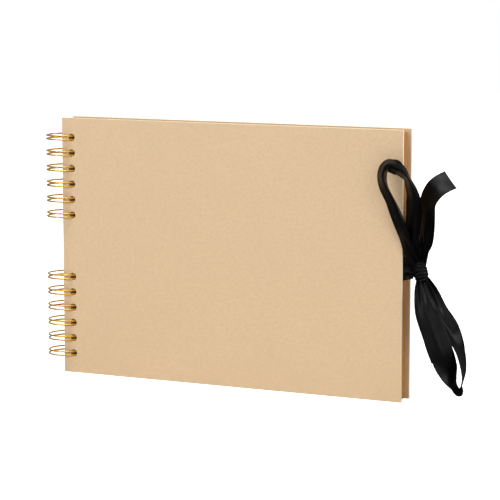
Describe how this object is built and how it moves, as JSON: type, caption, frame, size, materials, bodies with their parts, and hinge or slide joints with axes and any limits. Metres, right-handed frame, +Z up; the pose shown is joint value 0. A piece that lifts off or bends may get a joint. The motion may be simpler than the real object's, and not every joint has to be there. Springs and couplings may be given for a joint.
{
  "type": "sketchbook",
  "caption": "Landscape hard-cover sketchbook with a twin-loop wire spine, kraft leaves that fan open, and a ribbon tie at the fore edge.",
  "frame": {"origin": "middle of the back cover's lower edge, on the surface that the book stands on", "axes": "+X from the spine to the fore edge, +Y from the front cover to the back cover, +Z up the spine"},
  "size_m": [0.3668, 0.0506, 0.21],
  "materials": {
    "cover_board": "matte kraft board",
    "leaf_card": "matte kraft card",
    "wire_gold": "polished",
    "ribbon_satin": "satin"
  },
  "bodies": {
    "back": {"back_cover": "cover_board", "wire_upper": "wire_gold", "wire_lower": "wire_gold", "ribbon_back": "ribbon_satin"},
    "front": {"front_cover": "cover_board", "ribbon_front": "ribbon_satin", "bow_knot": "ribbon_satin", "bow_loop_upper": "ribbon_satin", "bow_loop_lower": "ribbon_satin", "bow_tail_upper": "ribbon_satin", "bow_tail_lower": "ribbon_satin"},
    "leaf_01": {"leaf_01": "leaf_card"},
    "leaf_02": {"leaf_02": "leaf_card"},
    "leaf_03": {"leaf_03": "leaf_card"},
    "leaf_04": {"leaf_04": "leaf_card"},
    "leaf_05": {"leaf_05": "leaf_card"},
    "leaf_06": {"leaf_06": "leaf_card"},
    "leaf_07": {"leaf_07": "leaf_card"},
    "leaf_08": {"leaf_08": "leaf_card"},
    "leaf_09": {"leaf_09": "leaf_card"},
    "leaf_10": {"leaf_10": "leaf_card"},
    "leaf_11": {"leaf_11": "leaf_card"},
    "leaf_12": {"leaf_12": "leaf_card"},
    "leaf_13": {"leaf_13": "leaf_card"},
    "leaf_14": {"leaf_14": "leaf_card"},
    "leaf_15": {"leaf_15": "leaf_card"},
    "leaf_16": {"leaf_16": "leaf_card"},
    "leaf_17": {"leaf_17": "leaf_card"},
    "leaf_18": {"leaf_18": "leaf_card"},
    "leaf_19": {"leaf_19": "leaf_card"},
    "leaf_20": {"leaf_20": "leaf_card"},
    "leaf_21": {"leaf_21": "leaf_card"},
    "leaf_22": {"leaf_22": "leaf_card"},
    "leaf_23": {"leaf_23": "leaf_card"},
    "leaf_24": {"leaf_24": "leaf_card"},
    "leaf_25": {"leaf_25": "leaf_card"},
    "leaf_26": {"leaf_26": "leaf_card"},
    "leaf_27": {"leaf_27": "leaf_card"},
    "leaf_28": {"leaf_28": "leaf_card"},
    "leaf_29": {"leaf_29": "leaf_card"},
    "leaf_30": {"leaf_30": "leaf_card"},
    "leaf_31": {"leaf_31": "leaf_card"},
    "leaf_32": {"leaf_32": "leaf_card"},
    "leaf_33": {"leaf_33": "leaf_card"},
    "leaf_34": {"leaf_34": "leaf_card"},
    "leaf_35": {"leaf_35": "leaf_card"},
    "leaf_36": {"leaf_36": "leaf_card"},
    "leaf_37": {"leaf_37": "leaf_card"},
    "leaf_38": {"leaf_38": "leaf_card"},
    "leaf_39": {"leaf_39": "leaf_card"},
    "leaf_40": {"leaf_40": "leaf_card"}
  },
  "joints": [
    {"name": "front_cover_hinge", "type": "hinge", "parent": "back", "child": "front", "pos_m": [-0.1515, -0.00875, 0.105], "axis": [0, 0, -1], "range_deg": [0, 180]},
    {"name": "leaf_01_hinge", "type": "hinge", "parent": "back", "child": "leaf_01", "pos_m": [-0.1515, -0.00875, 0.105], "axis": [0, 0, -1], "range_deg": [0, 180]},
    {"name": "leaf_02_hinge", "type": "hinge", "parent": "back", "child": "leaf_02", "pos_m": [-0.1515, -0.00875, 0.105], "axis": [0, 0, -1], "range_deg": [0, 180]},
    {"name": "leaf_03_hinge", "type": "hinge", "parent": "back", "child": "leaf_03", "pos_m": [-0.1515, -0.00875, 0.105], "axis": [0, 0, -1], "range_deg": [0, 180]},
    {"name": "leaf_04_hinge", "type": "hinge", "parent": "back", "child": "leaf_04", "pos_m": [-0.1515, -0.00875, 0.105], "axis": [0, 0, -1], "range_deg": [0, 180]},
    {"name": "leaf_05_hinge", "type": "hinge", "parent": "back", "child": "leaf_05", "pos_m": [-0.1515, -0.00875, 0.105], "axis": [0, 0, -1], "range_deg": [0, 180]},
    {"name": "leaf_06_hinge", "type": "hinge", "parent": "back", "child": "leaf_06", "pos_m": [-0.1515, -0.00875, 0.105], "axis": [0, 0, -1], "range_deg": [0, 180]},
    {"name": "leaf_07_hinge", "type": "hinge", "parent": "back", "child": "leaf_07", "pos_m": [-0.1515, -0.00875, 0.105], "axis": [0, 0, -1], "range_deg": [0, 180]},
    {"name": "leaf_08_hinge", "type": "hinge", "parent": "back", "child": "leaf_08", "pos_m": [-0.1515, -0.00875, 0.105], "axis": [0, 0, -1], "range_deg": [0, 180]},
    {"name": "leaf_09_hinge", "type": "hinge", "parent": "back", "child": "leaf_09", "pos_m": [-0.1515, -0.00875, 0.105], "axis": [0, 0, -1], "range_deg": [0, 180]},
    {"name": "leaf_10_hinge", "type": "hinge", "parent": "back", "child": "leaf_10", "pos_m": [-0.1515, -0.00875, 0.105], "axis": [0, 0, -1], "range_deg": [0, 180]},
    {"name": "leaf_11_hinge", "type": "hinge", "parent": "back", "child": "leaf_11", "pos_m": [-0.1515, -0.00875, 0.105], "axis": [0, 0, -1], "range_deg": [0, 180]},
    {"name": "leaf_12_hinge", "type": "hinge", "parent": "back", "child": "leaf_12", "pos_m": [-0.1515, -0.00875, 0.105], "axis": [0, 0, -1], "range_deg": [0, 180]},
    {"name": "leaf_13_hinge", "type": "hinge", "parent": "back", "child": "leaf_13", "pos_m": [-0.1515, -0.00875, 0.105], "axis": [0, 0, -1], "range_deg": [0, 180]},
    {"name": "leaf_14_hinge", "type": "hinge", "parent": "back", "child": "leaf_14", "pos_m": [-0.1515, -0.00875, 0.105], "axis": [0, 0, -1], "range_deg": [0, 180]},
    {"name": "leaf_15_hinge", "type": "hinge", "parent": "back", "child": "leaf_15", "pos_m": [-0.1515, -0.00875, 0.105], "axis": [0, 0, -1], "range_deg": [0, 180]},
    {"name": "leaf_16_hinge", "type": "hinge", "parent": "back", "child": "leaf_16", "pos_m": [-0.1515, -0.00875, 0.105], "axis": [0, 0, -1], "range_deg": [0, 180]},
    {"name": "leaf_17_hinge", "type": "hinge", "parent": "back", "child": "leaf_17", "pos_m": [-0.1515, -0.00875, 0.105], "axis": [0, 0, -1], "range_deg": [0, 180]},
    {"name": "leaf_18_hinge", "type": "hinge", "parent": "back", "child": "leaf_18", "pos_m": [-0.1515, -0.00875, 0.105], "axis": [0, 0, -1], "range_deg": [0, 180]},
    {"name": "leaf_19_hinge", "type": "hinge", "parent": "back", "child": "leaf_19", "pos_m": [-0.1515, -0.00875, 0.105], "axis": [0, 0, -1], "range_deg": [0, 180]},
    {"name": "leaf_20_hinge", "type": "hinge", "parent": "back", "child": "leaf_20", "pos_m": [-0.1515, -0.00875, 0.105], "axis": [0, 0, -1], "range_deg": [0, 180]},
    {"name": "leaf_21_hinge", "type": "hinge", "parent": "back", "child": "leaf_21", "pos_m": [-0.1515, -0.00875, 0.105], "axis": [0, 0, -1], "range_deg": [0, 180]},
    {"name": "leaf_22_hinge", "type": "hinge", "parent": "back", "child": "leaf_22", "pos_m": [-0.1515, -0.00875, 0.105], "axis": [0, 0, -1], "range_deg": [0, 180]},
    {"name": "leaf_23_hinge", "type": "hinge", "parent": "back", "child": "leaf_23", "pos_m": [-0.1515, -0.00875, 0.105], "axis": [0, 0, -1], "range_deg": [0, 180]},
    {"name": "leaf_24_hinge", "type": "hinge", "parent": "back", "child": "leaf_24", "pos_m": [-0.1515, -0.00875, 0.105], "axis": [0, 0, -1], "range_deg": [0, 180]},
    {"name": "leaf_25_hinge", "type": "hinge", "parent": "back", "child": "leaf_25", "pos_m": [-0.1515, -0.00875, 0.105], "axis": [0, 0, -1], "range_deg": [0, 180]},
    {"name": "leaf_26_hinge", "type": "hinge", "parent": "back", "child": "leaf_26", "pos_m": [-0.1515, -0.00875, 0.105], "axis": [0, 0, -1], "range_deg": [0, 180]},
    {"name": "leaf_27_hinge", "type": "hinge", "parent": "back", "child": "leaf_27", "pos_m": [-0.1515, -0.00875, 0.105], "axis": [0, 0, -1], "range_deg": [0, 180]},
    {"name": "leaf_28_hinge", "type": "hinge", "parent": "back", "child": "leaf_28", "pos_m": [-0.1515, -0.00875, 0.105], "axis": [0, 0, -1], "range_deg": [0, 180]},
    {"name": "leaf_29_hinge", "type": "hinge", "parent": "back", "child": "leaf_29", "pos_m": [-0.1515, -0.00875, 0.105], "axis": [0, 0, -1], "range_deg": [0, 180]},
    {"name": "leaf_30_hinge", "type": "hinge", "parent": "back", "child": "leaf_30", "pos_m": [-0.1515, -0.00875, 0.105], "axis": [0, 0, -1], "range_deg": [0, 180]},
    {"name": "leaf_31_hinge", "type": "hinge", "parent": "back", "child": "leaf_31", "pos_m": [-0.1515, -0.00875, 0.105], "axis": [0, 0, -1], "range_deg": [0, 180]},
    {"name": "leaf_32_hinge", "type": "hinge", "parent": "back", "child": "leaf_32", "pos_m": [-0.1515, -0.00875, 0.105], "axis": [0, 0, -1], "range_deg": [0, 180]},
    {"name": "leaf_33_hinge", "type": "hinge", "parent": "back", "child": "leaf_33", "pos_m": [-0.1515, -0.00875, 0.105], "axis": [0, 0, -1], "range_deg": [0, 180]},
    {"name": "leaf_34_hinge", "type": "hinge", "parent": "back", "child": "leaf_34", "pos_m": [-0.1515, -0.00875, 0.105], "axis": [0, 0, -1], "range_deg": [0, 180]},
    {"name": "leaf_35_hinge", "type": "hinge", "parent": "back", "child": "leaf_35", "pos_m": [-0.1515, -0.00875, 0.105], "axis": [0, 0, -1], "range_deg": [0, 180]},
    {"name": "leaf_36_hinge", "type": "hinge", "parent": "back", "child": "leaf_36", "pos_m": [-0.1515, -0.00875, 0.105], "axis": [0, 0, -1], "range_deg": [0, 180]},
    {"name": "leaf_37_hinge", "type": "hinge", "parent": "back", "child": "leaf_37", "pos_m": [-0.1515, -0.00875, 0.105], "axis": [0, 0, -1], "range_deg": [0, 180]},
    {"name": "leaf_38_hinge", "type": "hinge", "parent": "back", "child": "leaf_38", "pos_m": [-0.1515, -0.00875, 0.105], "axis": [0, 0, -1], "range_deg": [0, 180]},
    {"name": "leaf_39_hinge", "type": "hinge", "parent": "back", "child": "leaf_39", "pos_m": [-0.1515, -0.00875, 0.105], "axis": [0, 0, -1], "range_deg": [0, 180]},
    {"name": "leaf_40_hinge", "type": "hinge", "parent": "back", "child": "leaf_40", "pos_m": [-0.1515, -0.00875, 0.105], "axis": [0, 0, -1], "range_deg": [0, 180]}
  ],
  "couplings": [
    {"joint": "leaf_01_hinge", "follows": "front_cover_hinge", "ratio": 0.9756},
    {"joint": "leaf_02_hinge", "follows": "front_cover_hinge", "ratio": 0.9512},
    {"joint": "leaf_03_hinge", "follows": "front_cover_hinge", "ratio": 0.9268},
    {"joint": "leaf_04_hinge", "follows": "front_cover_hinge", "ratio": 0.9024},
    {"joint": "leaf_05_hinge", "follows": "front_cover_hinge", "ratio": 0.878},
    {"joint": "leaf_06_hinge", "follows": "front_cover_hinge", "ratio": 0.8537},
    {"joint": "leaf_07_hinge", "follows": "front_cover_hinge", "ratio": 0.8293},
    {"joint": "leaf_08_hinge", "follows": "front_cover_hinge", "ratio": 0.8049},
    {"joint": "leaf_09_hinge", "follows": "front_cover_hinge", "ratio": 0.7805},
    {"joint": "leaf_10_hinge", "follows": "front_cover_hinge", "ratio": 0.7561},
    {"joint": "leaf_11_hinge", "follows": "front_cover_hinge", "ratio": 0.7317},
    {"joint": "leaf_12_hinge", "follows": "front_cover_hinge", "ratio": 0.7073},
    {"joint": "leaf_13_hinge", "follows": "front_cover_hinge", "ratio": 0.6829},
    {"joint": "leaf_14_hinge", "follows": "front_cover_hinge", "ratio": 0.6585},
    {"joint": "leaf_15_hinge", "follows": "front_cover_hinge", "ratio": 0.6341},
    {"joint": "leaf_16_hinge", "follows": "front_cover_hinge", "ratio": 0.6098},
    {"joint": "leaf_17_hinge", "follows": "front_cover_hinge", "ratio": 0.5854},
    {"joint": "leaf_18_hinge", "follows": "front_cover_hinge", "ratio": 0.561},
    {"joint": "leaf_19_hinge", "follows": "front_cover_hinge", "ratio": 0.5366},
    {"joint": "leaf_20_hinge", "follows": "front_cover_hinge", "ratio": 0.5122},
    {"joint": "leaf_21_hinge", "follows": "front_cover_hinge", "ratio": 0.4878},
    {"joint": "leaf_22_hinge", "follows": "front_cover_hinge", "ratio": 0.4634},
    {"joint": "leaf_23_hinge", "follows": "front_cover_hinge", "ratio": 0.439},
    {"joint": "leaf_24_hinge", "follows": "front_cover_hinge", "ratio": 0.4146},
    {"joint": "leaf_25_hinge", "follows": "front_cover_hinge", "ratio": 0.3902},
    {"joint": "leaf_26_hinge", "follows": "front_cover_hinge", "ratio": 0.3659},
    {"joint": "leaf_27_hinge", "follows": "front_cover_hinge", "ratio": 0.3415},
    {"joint": "leaf_28_hinge", "follows": "front_cover_hinge", "ratio": 0.3171},
    {"joint": "leaf_29_hinge", "follows": "front_cover_hinge", "ratio": 0.2927},
    {"joint": "leaf_30_hinge", "follows": "front_cover_hinge", "ratio": 0.2683},
    {"joint": "leaf_31_hinge", "follows": "front_cover_hinge", "ratio": 0.2439},
    {"joint": "leaf_32_hinge", "follows": "front_cover_hinge", "ratio": 0.2195},
    {"joint": "leaf_33_hinge", "follows": "front_cover_hinge", "ratio": 0.1951},
    {"joint": "leaf_34_hinge", "follows": "front_cover_hinge", "ratio": 0.1707},
    {"joint": "leaf_35_hinge", "follows": "front_cover_hinge", "ratio": 0.1463},
    {"joint": "leaf_36_hinge", "follows": "front_cover_hinge", "ratio": 0.122},
    {"joint": "leaf_37_hinge", "follows": "front_cover_hinge", "ratio": 0.0976},
    {"joint": "leaf_38_hinge", "follows": "front_cover_hinge", "ratio": 0.0732},
    {"joint": "leaf_39_hinge", "follows": "front_cover_hinge", "ratio": 0.0488},
    {"joint": "leaf_40_hinge", "follows": "front_cover_hinge", "ratio": 0.0244}
  ]
}
